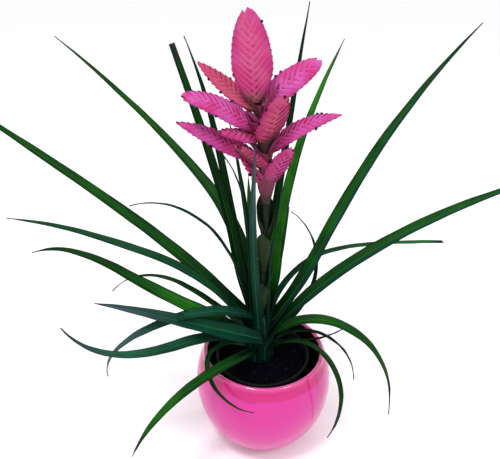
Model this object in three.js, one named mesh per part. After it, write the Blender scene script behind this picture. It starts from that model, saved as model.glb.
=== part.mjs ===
// A flowering bromeliad (a compound-spiked tillandsia) in a round glazed cachepot.
// Millimetres, +Z up. The origin is the centre of the pot's underside, on the floor.
// Headings are degrees round the pot seen from above: 0 is +X, 90 is +Y (the back).
// Rises are degrees above the horizontal: 90 is straight up, -90 straight down.
import * as THREE from 'three';

const GAP = 0.3;

// Ceramic cachepot: a ball cut flat below and open above, with a rounded lip
const POT_HEIGHT = 112;
const POT_WIDEST_RADIUS = 71.5;
const POT_WIDEST_LEVEL = 73;
const POT_UPPER_SEMI_AXIS = 80;
const POT_LOWER_SEMI_AXIS = 84;
const POT_WALL = 5;
const POT_FLOOR = 6;
const POT_LIP_RADIUS = 1.6;
const POT_LIP_FLAT = 0.6;
const POT_OPENING_RADIUS = 59.5;
const POT_FOOT_CHAMFER = 0.5;
const POT_CORNER = 2;
const POT_STEPS = 12;
const POT_SIDES = 40;

// Black plastic nursery pot standing inside it, a little off the centre
const NURSERY_CENTRE = [-1, 2];
const NURSERY_TOP = 103;
const NURSERY_RADIUS = 50;
const NURSERY_FOOT_RADIUS = 34;
const NURSERY_WALL = 1.4;
const NURSERY_RIM_WIDTH = 2;
const NURSERY_RIM_DEPTH = 7;
const NURSERY_SIDES = 32;

// Potting soil: flat round the plant, falling slightly to the wall
const SOIL_TOP = 99;
const SOIL_EDGE_LEVEL = 95;
const SOIL_FLAT_RADIUS = 24;
const SOIL_SHOULDER_RADIUS = 32;
const SOIL_SHOULDER_LEVEL = 98;

// Crown: the short upright core that all leaf bases wrap
const CROWN_CENTRE = [-4, 6];
const CROWN_BOTTOM = SOIL_TOP + GAP;
const CROWN_TOP = 150;
const CROWN_FOOT_RADIUS = 14;
const CROWN_TOP_RADIUS = 8;
const CROWN_SIDES = 16;

// Leaf blade: a channelled strap that narrows to a long point
const LEAF_SPACING = 1.4;
const LEAF_KEEL = 1.3;
const LEAF_EDGE = 0.6;
const LEAF_FOLD = 27;
const LEAF_BASE = 0.5;
const LEAF_SEGMENTS = 14;
const LEAF_BASE_ZONE = 0.16;
const LEAF_FLARE_ZONE = 0.32;
const LEAF_TAPER_START = 2.4;
const LEAF_TAPER_END = 0.8;
const LEAF_TIP_WIDTH = 0.9;
const LEAF_THINNING = 0.5;
const PATH_SUBSTEPS = 4;
const SECTION_CORNERS = 6;

// Flower stem, its sheathing bracts and its flattened spikes ("paddles")
const STEM_RADIUS = 3.4;
const STEM_SIDES = 8;
const STEM_STEPS = 12;
const STEM_SAMPLES = 100;
const STEM_LINE = [[-4, 6, CROWN_TOP + GAP], [0, 6, 200], [1, 6, 250], [0, 6, 310], [-6, 6, 372]];
const BRACT_SEGMENTS = 6;
const BRACT_SPACING = 2.4;
const BRACT_FOLD = 38;
const BRACT_KEEL = 1;
const BRACT_EDGE = 0.5;
const BRACT_TAPER = 3;
const BRACT_TIP_WIDTH = 1.2;
const PADDLE_SEGMENTS = 8;
const PADDLE_SPACING = 2.4;
const PADDLE_THICKNESS = 5;
const PADDLE_EDGE = 1.2;
const PADDLE_OUTLINE_START = 0.1;
const PADDLE_OUTLINE_SPAN = 0.87;
const PADDLE_OUTLINE_SKEW = 0.9;
const PADDLE_OUTLINE_FULLNESS = 0.6;
const PADDLE_LEAST_WIDTH = 3;

const FINISH = {
  glaze: { color: 0xe850aa, roughness: 0.12, metalness: 0 },
  plastic: { color: 0x0b0b0e, roughness: 0.5, metalness: 0 },
  soil: { color: 0x0f0c0a, roughness: 0.95, metalness: 0 },
  leaf: { color: 0x1c5a26, roughness: 0.45, metalness: 0 },
  stem: { color: 0x4c5a45, roughness: 0.6, metalness: 0 },
  paddle: { color: 0xd9478f, roughness: 0.5, metalness: 0 },
};

const degrees = THREE.MathUtils.degToRad;
const plant = new THREE.Group();

function material(finish) {
  return new THREE.MeshStandardMaterial(finish);
}

function addPiece(name, geometry, finish, [x, y] = [0, 0]) {
  const mesh = new THREE.Mesh(geometry, material(finish));
  mesh.name = name;
  mesh.position.set(x, y, 0);
  plant.add(mesh);
}

// Turns a (radius, height) outline about the upright axis
function turned(outline, sides) {
  const points = outline.map(([radius, height]) => new THREE.Vector2(radius, height));
  const geometry = new THREE.LatheGeometry(points, sides);
  geometry.rotateX(Math.PI / 2);
  return geometry;
}

// ---- cachepot ---------------------------------------------------------------

function potRadiusAt(level) {
  const semiAxis = level > POT_WIDEST_LEVEL ? POT_UPPER_SEMI_AXIS : POT_LOWER_SEMI_AXIS;
  return POT_WIDEST_RADIUS * Math.sqrt(1 - ((level - POT_WIDEST_LEVEL) / semiAxis) ** 2);
}

function ceramicPot() {
  const lipLevel = POT_HEIGHT - POT_LIP_RADIUS;
  const outer = [];
  const inner = [];
  for (let i = 0; i <= POT_STEPS; i += 1) {
    const level = POT_CORNER + (lipLevel - POT_CORNER) * (i / POT_STEPS);
    outer.push([potRadiusAt(level), level]);
  }
  for (let i = 1; i <= POT_STEPS; i += 1) {
    const level = lipLevel - (lipLevel - POT_FLOOR - POT_CORNER) * (i / POT_STEPS);
    inner.push([potRadiusAt(level) - POT_WALL, level]);
  }
  const lipMiddle = (potRadiusAt(lipLevel) + POT_OPENING_RADIUS) / 2;
  const lip = [
    [lipMiddle + POT_LIP_FLAT, POT_HEIGHT],
    [lipMiddle - POT_LIP_FLAT, POT_HEIGHT],
    [POT_OPENING_RADIUS, lipLevel],
  ];
  const footRadius = potRadiusAt(0) - POT_FOOT_CHAMFER;
  const innerFoot = potRadiusAt(POT_FLOOR) - POT_WALL - POT_CORNER;
  return turned(
    [[0, 0], [footRadius, 0], ...outer, ...lip, ...inner, [innerFoot, POT_FLOOR], [0, POT_FLOOR]],
    POT_SIDES,
  );
}

// ---- nursery pot and soil -----------------------------------------------------

const nurseryFloor = POT_FLOOR + GAP;

function nurseryRadiusAt(level) {
  const share = (level - nurseryFloor) / (NURSERY_TOP - nurseryFloor);
  return NURSERY_FOOT_RADIUS + (NURSERY_RADIUS - NURSERY_RIM_WIDTH - NURSERY_FOOT_RADIUS) * share;
}

function nurseryPot() {
  const rimFoot = NURSERY_TOP - NURSERY_RIM_DEPTH;
  const insideFloor = nurseryFloor + NURSERY_WALL;
  return turned([
    [0, nurseryFloor],
    [NURSERY_FOOT_RADIUS, nurseryFloor],
    [nurseryRadiusAt(rimFoot), rimFoot],
    [NURSERY_RADIUS, rimFoot],
    [NURSERY_RADIUS, NURSERY_TOP],
    [nurseryRadiusAt(NURSERY_TOP) - NURSERY_WALL, NURSERY_TOP],
    [nurseryRadiusAt(insideFloor) - NURSERY_WALL, insideFloor],
    [0, insideFloor],
  ], NURSERY_SIDES);
}

function soil() {
  const bottom = nurseryFloor + NURSERY_WALL + GAP;
  const clearance = NURSERY_WALL + 2 * GAP;
  return turned([
    [0, bottom],
    [nurseryRadiusAt(bottom) - clearance, bottom],
    [nurseryRadiusAt(SOIL_EDGE_LEVEL) - clearance, SOIL_EDGE_LEVEL],
    [SOIL_SHOULDER_RADIUS, SOIL_SHOULDER_LEVEL],
    [SOIL_FLAT_RADIUS, SOIL_TOP],
    [0, SOIL_TOP],
  ], NURSERY_SIDES);
}

// ---- crown ----------------------------------------------------------------------

function crownRadiusAt(level) {
  const share = (level - CROWN_BOTTOM) / (CROWN_TOP - CROWN_BOTTOM);
  return CROWN_FOOT_RADIUS + (CROWN_TOP_RADIUS - CROWN_FOOT_RADIUS) * share;
}

function crown() {
  return turned([
    [0, CROWN_BOTTOM],
    [CROWN_FOOT_RADIUS, CROWN_BOTTOM],
    [CROWN_TOP_RADIUS, CROWN_TOP],
    [0, CROWN_TOP],
  ], CROWN_SIDES);
}

// ---- blades: leaves, bracts and paddles -------------------------------------------

// The value at a share of the way along a list of evenly spaced values
function along(values, share) {
  const place = share * (values.length - 1);
  const index = Math.min(Math.floor(place), values.length - 2);
  return THREE.MathUtils.lerp(values[index], values[index + 1], place - index);
}

function direction(heading, rise) {
  return new THREE.Vector3(
    Math.cos(degrees(heading)) * Math.cos(degrees(rise)),
    Math.sin(degrees(heading)) * Math.cos(degrees(rise)),
    Math.sin(degrees(rise)),
  );
}

// Follows headings and rises from the base to the tip; each station carries its own axes:
// `side` is the blade's right-hand edge and `up` its upper face. `roll` lifts the right edge.
function stations(start, { length, heading, rise, roll = [0, 0] }, segments) {
  const list = [];
  const point = start.clone();
  const steps = segments * PATH_SUBSTEPS;
  for (let step = 0; step <= steps; step += 1) {
    const share = step / steps;
    const h = along(heading, share);
    const r = along(rise, share);
    const ahead = direction(h, r);
    if (step % PATH_SUBSTEPS === 0) {
      const level = new THREE.Vector3(Math.sin(degrees(h)), -Math.cos(degrees(h)), 0);
      const side = level.applyAxisAngle(ahead, -degrees(along(roll, share)));
      const up = new THREE.Vector3().crossVectors(side, ahead);
      list.push({ share, point: point.clone(), side, up });
    }
    point.addScaledVector(ahead, length / steps);
  }
  return list;
}

// Skins one closed body over six-cornered sections, each a list of [across, up] pairs
function skin(list, sectionAt) {
  const positions = [];
  for (const { share, point, side, up } of list) {
    for (const [across, above] of sectionAt(share)) {
      const corner = point.clone().addScaledVector(side, across).addScaledVector(up, above);
      positions.push(corner.x, corner.y, corner.z);
    }
  }
  const triangles = [];
  for (let ring = 0; ring < list.length - 1; ring += 1) {
    for (let i = 0; i < SECTION_CORNERS; i += 1) {
      const a = ring * SECTION_CORNERS + i;
      const b = ring * SECTION_CORNERS + ((i + 1) % SECTION_CORNERS);
      triangles.push(a, b, b + SECTION_CORNERS, a, b + SECTION_CORNERS, a + SECTION_CORNERS);
    }
  }
  const cap = [[0, 1, 4], [0, 4, 5], [1, 2, 3], [1, 3, 4]];
  const last = (list.length - 1) * SECTION_CORNERS;
  for (const [a, b, c] of cap) {
    triangles.push(a, c, b, last + a, last + b, last + c);
  }
  const geometry = new THREE.BufferGeometry();
  geometry.setAttribute('position', new THREE.Float32BufferAttribute(positions, 3));
  geometry.setIndex(triangles);
  geometry.computeVertexNormals();
  return geometry;
}

// A channelled strap: both halves rise from the keel by the fold angle
function channel(width, fold, keel, edge) {
  const half = (width / 4) * Math.tan(degrees(fold));
  return [
    [-width / 2, half + edge / 2],
    [0, keel / 2 - half],
    [width / 2, half + edge / 2],
    [width / 2, half - edge / 2],
    [0, -keel / 2 - half],
    [-width / 2, half - edge / 2],
  ];
}

// A flat lens: thickest along the middle, thin at both edges
function lens(width, thickness, edge) {
  return [
    [-width / 2, edge / 2],
    [0, thickness / 2],
    [width / 2, edge / 2],
    [width / 2, -edge / 2],
    [0, -thickness / 2],
    [-width / 2, -edge / 2],
  ];
}

function crownPoint(side, level, out) {
  const radius = crownRadiusAt(level) + out;
  return new THREE.Vector3(
    CROWN_CENTRE[0] + radius * Math.cos(degrees(side)),
    CROWN_CENTRE[1] + radius * Math.sin(degrees(side)),
    level,
  );
}

// `side`, `level` and `out` place the base round, up and off the crown; `base` is the width
// there as a share of the full width; `cut` is the share of the natural length trimmed off.
function leaf({ side, level, out = LEAF_SPACING, width, base = LEAF_BASE, cut = 0, ...path }) {
  const list = stations(crownPoint(side, level, out), path, LEAF_SEGMENTS);
  return skin(list, (share) => {
    const natural = share * (1 - cut);
    const taper = Math.max(1 - natural ** LEAF_TAPER_START, 0) ** LEAF_TAPER_END;
    const zone = base > 1 ? LEAF_FLARE_ZONE : LEAF_BASE_ZONE;
    const spread = THREE.MathUtils.lerp(base, 1, Math.min(share / zone, 1));
    const blade = Math.max(width * spread * taper, LEAF_TIP_WIDTH);
    const thin = 1 - LEAF_THINNING * share;
    const keel = Math.min(LEAF_KEEL * thin, blade);
    return channel(blade, LEAF_FOLD, keel, Math.min(LEAF_EDGE * thin, blade / 2));
  });
}

const LEAVES = {
  // low leaves that leave the crown near the soil
  leaf_left_low: { side: 222, level: 118, length: 212, width: 13,
    heading: [212, 205, 198], rise: [50, 19, -2, 10, 38, 68], roll: [15, 25] },
  leaf_front_wide: { side: 250, level: 112, length: 175, width: 12,
    heading: [232, 222, 214], rise: [21, 9, -7, -33, -63], roll: [0, 20] },
  leaf_front_curl: { side: 195, level: 112, length: 134, width: 6,
    heading: [190, 198, 232, 270, 297, 318, 335, 350], rise: [30, 8, 0, -14, -28, -20, -13, 5] },
  leaf_right_drooping: { side: 290, level: 116, length: 229, width: 11, out: 3,
    heading: [352, 345], rise: [74, 31, -18, -52, -76, -93], roll: [-20, -10] },
  leaf_right_thin: { side: 305, level: 111, length: 205, width: 6,
    heading: [345, 325, 305, 290, 280], rise: [55, 15, -39, -89, -110, -119] },
  leaf_right_hooked: { side: 338, level: 116, length: 130, width: 5,
    heading: [356, 350, 345], rise: [56, 13, -29, -62, -88] },
  leaf_right_short: { side: 10, level: 112, length: 84, width: 4,
    heading: [355, 362], rise: [12, 4, 10, 27, 48] },
  // spreading leaves from the middle of the crown
  leaf_left_front: { side: 285, level: 121, length: 183, width: 14, base: 1.6, out: 8,
    heading: [200, 195, 190], rise: [47, 35, 27, 23, 17], roll: [25, 20] },
  leaf_left_broad: { side: 219, level: 128, length: 240, width: 17, out: 2.5,
    heading: [202, 192, 188], rise: [42, 39, 37, 39, 41, 25, -19], roll: [25, 20] },
  leaf_left_drooping: { side: 185, level: 122, length: 203, width: 10,
    heading: [172, 178, 188, 200], rise: [61, 23, -14, -19, -21, -48, -102], roll: [15, 15] },
  leaf_left_hooked: { side: 138, level: 126, length: 180, width: 8,
    heading: [146, 165, 178], rise: [9, 27, 23, -12, -55] },
  leaf_left_twisted: { side: 188, level: 129, length: 275, width: 11,
    heading: [192, 187, 184], rise: [68, 48, 28, 22, 8], roll: [10, 30] },
  leaf_left_long: { side: 163, level: 141, length: 370, width: 14,
    heading: [168, 174, 176], rise: [48, 43, 39, 37, 37, 35], roll: [20, 25] },
  leaf_right_long: { side: 354, level: 127, length: 345, width: 14, out: 2,
    heading: [3, 14], rise: [57, 43, 32, 23, 15, 8], roll: [-20, -20] },
  leaf_right_tall: { side: 26, level: 134, length: 368, width: 14,
    heading: [22, 26, 26], rise: [48, 63, 56, 46, 38], roll: [-15, -15] },
  leaf_right_cut: { side: 55, level: 127, length: 271, width: 8, cut: 0.25,
    heading: [48, 28, 8], rise: [77, 33, -1, -9, -7, -6] },
  leaf_right_recurved: { side: 38, level: 119, length: 190, width: 4,
    heading: [36, 38], rise: [0, 43, 89, 119, 140] },
  leaf_back_arched: { side: 176, level: 142, length: 200, width: 6,
    heading: [165, 174, 178], rise: [84, 74, 56, 22, -22] },
  leaf_back_short: { side: 82, level: 134, length: 54, width: 7,
    heading: [62, 50], rise: [30, 35, 45, 62, 75] },
  leaf_back_left: { side: 105, level: 126, length: 190, width: 12,
    heading: [95, 92], rise: [50, 40, 30, 15] },
  leaf_back_right: { side: 62, level: 122, length: 170, width: 11,
    heading: [75, 80], rise: [45, 35, 20, 0] },
  leaf_back_low: { side: 85, level: 114, length: 150, width: 10,
    heading: [86, 86], rise: [35, 15, -20, -50] },
  // upright leaves from the top of the crown
  leaf_left_tall: { side: 100, level: 136, length: 394, width: 13,
    heading: [108, 130, 158, 166], rise: [69, 46, 31, 39, 39, 36], roll: [10, 20] },
  leaf_upright_bright: { side: 30, level: 140, length: 294, width: 12, out: 2,
    heading: [50, 46, 42], rise: [87, 80, 72, 60, 51] },
  leaf_upright_back: { side: 60, level: 142, length: 314, width: 9,
    heading: [70, 62, 56], rise: [83, 74, 71, 74, 73] },
  leaf_upright_dark: { side: 118, level: 144, length: 287, width: 11,
    heading: [142, 145], rise: [67, 78, 79, 73, 61], roll: [30, 30] },
  leaf_upright_cut: { side: 154, level: 146, length: 281, width: 10, out: 2, cut: 0.3,
    heading: [152, 152], rise: [75, 79, 73, 70, 69], roll: [30, 30] },
  leaf_upright_thin: { side: 200, level: 146, length: 201, width: 5,
    heading: [160, 170, 180], rise: [87, 89, 88, 74, 44] },
  leaf_upright_slim: { side: 95, level: 147, length: 203, width: 6,
    heading: [105, 112, 120], rise: [59, 66, 70, 66, 61] },
  leaf_upright_front: { side: 262, level: 144, length: 222, width: 8, out: 3,
    heading: [258, 258, 300], rise: [75, 76, 79, 82, 83] },
  leaf_upright_side: { side: 340, level: 143, length: 182, width: 8, out: 2,
    heading: [350, 350], rise: [94, 89, 83, 84, 85] },
};

for (const [name, values] of Object.entries(LEAVES)) {
  addPiece(name, leaf(values), FINISH.leaf);
}

// ---- flower stem -------------------------------------------------------------------

const stemLine = new THREE.CatmullRomCurve3(STEM_LINE.map((point) => new THREE.Vector3(...point)));

function stem() {
  const section = new THREE.Shape();
  section.absarc(0, 0, STEM_RADIUS, 0, 2 * Math.PI);
  return new THREE.ExtrudeGeometry(section, {
    steps: STEM_STEPS,
    curveSegments: STEM_SIDES,
    extrudePath: stemLine,
  });
}

// A point on the stem's surface at a height, on the side that a heading faces
function stemPoint(level, heading, spacing) {
  const line = stemLine.getSpacedPoints(STEM_SAMPLES);
  const centre = line.reduce((best, point) => (
    Math.abs(point.z - level) < Math.abs(best.z - level) ? point : best
  ));
  return new THREE.Vector3(
    centre.x + (STEM_RADIUS + spacing) * Math.cos(degrees(heading)),
    centre.y + (STEM_RADIUS + spacing) * Math.sin(degrees(heading)),
    level,
  );
}

// Bracts that wrap the bare part of the stem, each a short deep channel
const BRACTS = {
  stem_bract_1: { level: 160, length: 40, width: 13, heading: [260, 260], rise: [88, 87, 84] },
  stem_bract_2: { level: 186, length: 40, width: 13, heading: [80, 80], rise: [88, 87, 84] },
  stem_bract_3: { level: 212, length: 38, width: 13, heading: [240, 240], rise: [88, 87, 84] },
  stem_bract_4: { level: 238, length: 36, width: 14, heading: [100, 100], rise: [88, 87, 82] },
  stem_bract_5: { level: 262, length: 34, width: 15, heading: [280, 280], rise: [88, 84, 78] },
};

function bract({ level, width, ...path }) {
  const list = stations(stemPoint(level, path.heading[0], BRACT_SPACING), path, BRACT_SEGMENTS);
  return skin(list, (share) => {
    const blade = Math.max(width * (1 - share ** BRACT_TAPER), BRACT_TIP_WIDTH);
    return channel(blade, BRACT_FOLD, BRACT_KEEL, BRACT_EDGE);
  });
}

for (const [name, values] of Object.entries(BRACTS)) {
  addPiece(name, bract(values), FINISH.stem);
}

// Flattened spikes of overlapping bracts
const PADDLES = {
  paddle_top: { level: 375, length: 76, width: 34,
    heading: [180, 180], rise: [86, 84], roll: [90, 90] },
  paddle_right_upper: { level: 371, length: 61, width: 21,
    heading: [12, 12], rise: [50, 33, 29], roll: [-55, -55] },
  paddle_left_upper: { level: 367, length: 66, width: 17,
    heading: [154, 154], rise: [32, 32, 32], roll: [25, 25] },
  paddle_left_broad: { level: 350, length: 75, width: 20,
    heading: [197, 197], rise: [40, 31, 12], roll: [45, 45] },
  paddle_back_upper: { level: 355, length: 56, width: 18,
    heading: [90, 90], rise: [50, 48] },
  paddle_front_right: { level: 340, length: 52, width: 31,
    heading: [300, 300], rise: [59, 64, 67], roll: [-10, -10] },
  paddle_left_small: { level: 343, length: 46, width: 13,
    heading: [217, 217], rise: [18, 22], roll: [30, 30] },
  paddle_back_lower: { level: 330, length: 50, width: 16,
    heading: [75, 75], rise: [35, 28] },
  paddle_right_lower: { level: 328, length: 75, width: 15,
    heading: [352, 352], rise: [53, 31, 10], roll: [-40, -40] },
  paddle_left_lower: { level: 322, length: 81, width: 16,
    heading: [184, 184], rise: [28, 28, 23], roll: [40, 40] },
  paddle_front_left: { level: 315, length: 50, width: 17,
    heading: [237, 237], rise: [46, 40, 32] },
  paddle_right_bud: { level: 300, length: 46, width: 13,
    heading: [318, 318], rise: [66, 58, 50], roll: [-30, -30] },
  paddle_left_bud: { level: 300, length: 28, width: 9,
    heading: [200, 200], rise: [35, 50], roll: [30, 30] },
};

function paddle({ level, width, ...path }) {
  const list = stations(stemPoint(level, path.heading[0], PADDLE_SPACING), path, PADDLE_SEGMENTS);
  return skin(list, (share) => {
    const turn = PADDLE_OUTLINE_START + PADDLE_OUTLINE_SPAN * share ** PADDLE_OUTLINE_SKEW;
    const outline = Math.sin(Math.PI * turn) ** PADDLE_OUTLINE_FULLNESS;
    const blade = Math.max(width * outline, PADDLE_LEAST_WIDTH);
    return lens(blade, PADDLE_THICKNESS * (1 + outline) / 2, PADDLE_EDGE);
  });
}

for (const [name, values] of Object.entries(PADDLES)) {
  addPiece(name, paddle(values), FINISH.paddle);
}

// ---- assembly ------------------------------------------------------------------------

addPiece('cachepot', ceramicPot(), FINISH.glaze);
addPiece('nursery_pot', nurseryPot(), FINISH.plastic, NURSERY_CENTRE);
addPiece('soil', soil(), FINISH.soil, NURSERY_CENTRE);
addPiece('crown', crown(), FINISH.leaf, CROWN_CENTRE);
addPiece('flower_stem', stem(), FINISH.stem);

export default plant;
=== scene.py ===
import math
import random

import bmesh
import bpy
from mathutils import Matrix, Vector, noise


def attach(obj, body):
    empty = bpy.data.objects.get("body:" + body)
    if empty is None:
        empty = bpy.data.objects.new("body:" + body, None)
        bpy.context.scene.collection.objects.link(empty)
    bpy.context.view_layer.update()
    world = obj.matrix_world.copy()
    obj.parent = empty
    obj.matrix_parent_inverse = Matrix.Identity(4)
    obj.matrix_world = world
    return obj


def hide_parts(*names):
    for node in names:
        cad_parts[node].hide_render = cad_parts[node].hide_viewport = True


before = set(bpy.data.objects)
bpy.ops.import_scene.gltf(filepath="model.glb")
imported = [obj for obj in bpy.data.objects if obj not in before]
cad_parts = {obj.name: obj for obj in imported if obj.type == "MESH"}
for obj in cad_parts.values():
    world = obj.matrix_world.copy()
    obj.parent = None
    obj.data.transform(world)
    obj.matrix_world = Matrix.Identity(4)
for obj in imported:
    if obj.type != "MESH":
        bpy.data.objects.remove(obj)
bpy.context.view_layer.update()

# ---- studio ------------------------------------------------------------------------
# A wide white floor under a bright even sky, one large soft light over the viewer's left
# shoulder and a smaller one on the right, and the camera looking down on the plant.
scene = bpy.context.scene
scene.view_settings.view_transform = "Standard"


def linked(name, data):
    piece = bpy.data.objects.new(name, data)
    scene.collection.objects.link(piece)
    return piece


camera = linked("camera", bpy.data.cameras.new("camera"))
camera.data.lens = 43.2
camera.data.sensor_width = 36
camera.data.clip_start = 0.02
camera.location = (-0.0142, -0.4944, 0.5277)
camera.rotation_euler = (math.radians(61.03), 0, 0)
scene.camera = camera


def soft_light(name, place, size, power):
    light = bpy.data.lights.new(name, "AREA")
    light.shape = "DISK"
    light.size = size
    light.energy = power
    lamp = linked(name, light)
    lamp.location = place
    aim = Vector((0, 0, 0.15)) - Vector(place)
    lamp.rotation_euler = aim.to_track_quat("-Z", "Y").to_euler()


soft_light("key_light", (-0.35, -0.55, 1.5), 0.28, 9)
soft_light("side_light", (0.75, -0.75, 1.2), 0.3, 4)

world = bpy.data.worlds.new("studio_sky")
world.use_nodes = True
world.node_tree.nodes["Background"].inputs["Color"].default_value = (1, 1, 1, 1)
world.node_tree.nodes["Background"].inputs["Strength"].default_value = 1.02
scene.world = world


class Amount:
    """A shader value that takes part in ordinary sums."""

    def __init__(self, finish, socket):
        self.finish = finish
        self.socket = socket

    def sum(self, operation, first, second=0.0):
        made = self.finish.node("Math", {"operation": operation}, [first, second])
        return Amount(self.finish, made)

    def __add__(self, other):
        return self.sum("ADD", self, other)

    __radd__ = __add__

    def __mul__(self, other):
        return self.sum("MULTIPLY", self, other)

    __rmul__ = __mul__

    def __rsub__(self, other):
        return self.sum("SUBTRACT", other, self)

    def __abs__(self):
        return self.sum("ABSOLUTE", self)

    def over(self, low, high):
        """0 below `low`, 1 above `high`, smooth between (or the other way round)."""
        ramp = {"interpolation_type": "SMOOTHSTEP", "clamp": True}
        stops = [low, high, 0.0, 1.0] if low < high else [high, low, 1.0, 0.0]
        return Amount(self.finish, self.finish.node("MapRange", ramp, [self, *stops]))


class Finish:
    """One material and its nodes."""

    def __init__(self, name, roughness, **constants):
        self.material = bpy.data.materials.new(name)
        self.material.use_nodes = True
        self.tree = self.material.node_tree
        self.shader = self.tree.nodes["Principled BSDF"]
        self.set("Roughness", roughness)
        for socket, value in constants.items():
            self.set(socket.replace("_", " "), value)

    def put(self, socket, value):
        value = getattr(value, "socket", value)
        if isinstance(value, bpy.types.NodeSocket):
            self.tree.links.new(value, socket)
        elif isinstance(value, tuple) and len(value) == 3 and socket.type == "RGBA":
            socket.default_value = (*value, 1)
        else:
            socket.default_value = value

    def set(self, socket, value):
        self.put(self.shader.inputs[socket], value)

    def node(self, kind, settings, values, output=0):
        made = self.tree.nodes.new("ShaderNode" + kind)
        for name, value in settings.items():
            setattr(made, name, value)
        places = values.items() if isinstance(values, dict) else enumerate(values)
        for place, value in places:
            self.put(made.inputs[place], value)
        return made.outputs[output]

    def where(self):
        return self.node("TexCoord", {}, [], "Object")

    def uv(self, name):
        return self.node("UVMap", {"uv_map": name}, [])

    def attribute(self, name):
        return Amount(self, self.node("Attribute", {"attribute_name": name}, [], "Fac"))

    def stretched(self, vector, scale):
        return self.node("Mapping", {}, {"Vector": vector, "Scale": scale})

    def noise(self, vector, scale, detail=3.0, rough=0.5):
        made = self.node("TexNoise", {}, {
            "Vector": vector, "Scale": scale, "Detail": detail, "Roughness": rough,
        })
        return Amount(self, made)

    def mix(self, share, first, second):
        """Inputs 6 and 7 and output 2 are the colour sockets of the Mix node."""
        return self.node("Mix", {"data_type": "RGBA"}, {"Factor": share, 6: first, 7: second}, 2)

    def bump(self, height, distance, strength=1.0):
        self.set("Normal", self.node("Bump", {}, {
            "Height": height, "Distance": distance, "Strength": strength,
        }, "Normal"))


def finished(name, bm, *finishes):
    mesh = bpy.data.meshes.new(name)
    for face in bm.faces:
        face.smooth = True
    bm.to_mesh(mesh)
    bm.free()
    for finish in finishes:
        mesh.materials.append(finish.material)
    return linked(name, mesh)


floor_finish = Finish("studio_floor", 0.9)
floor_finish.set("Base Color", floor_finish.mix(
    floor_finish.noise(floor_finish.where(), 3.0), (0.93, 0.93, 0.94), (0.95, 0.95, 0.95),
))
bm = bmesh.new()
bmesh.ops.create_circle(bm, cap_ends=True, segments=96, radius=9)
finished("studio_floor", bm, floor_finish)

# ---- cachepot ----------------------------------------------------------------------
# A round cover pot of slip-cast earthenware, glazed in one glossy pink outside and over
# the rolled lip; the inside is coloured near black as painted shade. It stands on a flat
# unglazed foot.
POT_HEIGHT = 0.112
POT_WIDEST = 0.0715
POT_WIDEST_LEVEL = 0.073
POT_WALL = 0.005
POT_FLOOR = 0.006
SHOULDER_AXIS = 0.080
BELLY_AXIS = 0.084
FOOT_RECESS = 0.0008
RECESS_RADIUS = 0.022
BODY_STEP = 0.0036
INSIDE_STEP = 0.004
LIP = 0.0024


def pot_radius(level):
    semi_axis = SHOULDER_AXIS if level > POT_WIDEST_LEVEL else BELLY_AXIS
    return POT_WIDEST * math.sqrt(1 - ((level - POT_WIDEST_LEVEL) / semi_axis) ** 2)


def turned(outline, sides, centre=(0, 0, 0)):
    """Spins a (radius, height) outline that starts and ends on the axis."""
    bm = bmesh.new()
    verts = [bm.verts.new((radius, 0, height)) for radius, height in outline]
    edges = [bm.edges.new(pair) for pair in zip(verts, verts[1:])]
    bmesh.ops.spin(
        bm, geom=verts + edges, cent=(0, 0, 0), axis=(0, 0, 1),
        angle=2 * math.pi, steps=sides, use_merge=True,
    )
    bmesh.ops.remove_doubles(bm, verts=bm.verts, dist=1e-6)
    bmesh.ops.recalc_face_normals(bm, faces=bm.faces)
    bmesh.ops.translate(bm, verts=bm.verts, vec=centre)
    return bm


lip_level = POT_HEIGHT - LIP
lip_middle = pot_radius(lip_level) - LIP
outside_levels = [0.002 + BODY_STEP * i for i in range(30)]
inside_levels = [lip_level - INSIDE_STEP * i for i in range(1, 26)]
outline = [(0, FOOT_RECESS), (RECESS_RADIUS, FOOT_RECESS), (RECESS_RADIUS + 0.0015, 0)]
outline += [(pot_radius(0) - 0.0012, 0), (pot_radius(0.0006) - 0.0003, 0.0006)]
outline += [(pot_radius(level), level) for level in outside_levels if level < lip_level]
for degrees in range(0, 181, 20):
    turn = math.radians(degrees)
    outline += [(lip_middle + LIP * math.cos(turn), lip_level + LIP * math.sin(turn))]
outline += [
    (pot_radius(level) - POT_WALL, level) for level in inside_levels if level > POT_FLOOR + 0.003
]
outline += [(pot_radius(POT_FLOOR) - POT_WALL - 0.003, POT_FLOOR), (0, POT_FLOOR)]

glaze = Finish("pink_glaze", 0.16, Coat_Roughness=0.06, IOR=1.45)
height = Amount(glaze, glaze.node("SeparateXYZ", {}, [glaze.where()], "Z"))
cloud = glaze.noise(glaze.where(), 22.0, 2.0)
body = glaze.mix(cloud, (0.540, 0.010, 0.235), (0.590, 0.015, 0.265))
# Deeper pink from just under the lip upwards: a painted reflection of the dark plant above.
body = glaze.mix(height.over(0.098, 0.1005) * 0.75, body, (0.480, 0.001, 0.125))
# Paler pink on the top of the lip: a painted highlight where it faces the light.
body = glaze.mix(height.over(0.1095, 0.1118) * 0.35, body, (0.70, 0.12, 0.36))
specks = glaze.noise(glaze.where(), 900.0, 2.0).over(0.70, 0.76)
glaze.set("Base Color", glaze.mix(specks * 0.25, body, (0.36, 0.01, 0.12)))
glaze.set("Coat Weight", 0.15 + 0.85 * height.over(0.1080, 0.1100))
glaze.set("Roughness", 0.17 + 0.07 * glaze.noise(glaze.where(), 60.0))
glaze.bump(glaze.noise(glaze.where(), 45.0, 2.0), 0.0004, 0.25)

# The inside wall and the floor inside are coloured near black: painted shade in the pot.
inner_painted_shade = Finish("inner_wall_painted_shade", 0.35, Specular_IOR_Level=0.2)
inner_painted_shade.set("Base Color", inner_painted_shade.mix(
    inner_painted_shade.noise(inner_painted_shade.where(), 90.0), (0.0015, 0.001, 0.002), (0.004, 0.002, 0.004),
))
inner_painted_shade.set("Roughness", 0.3 + 0.2 * inner_painted_shade.noise(inner_painted_shade.where(), 130.0))
inner_painted_shade.bump(inner_painted_shade.noise(inner_painted_shade.where(), 300.0), 0.0003, 0.3)

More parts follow.
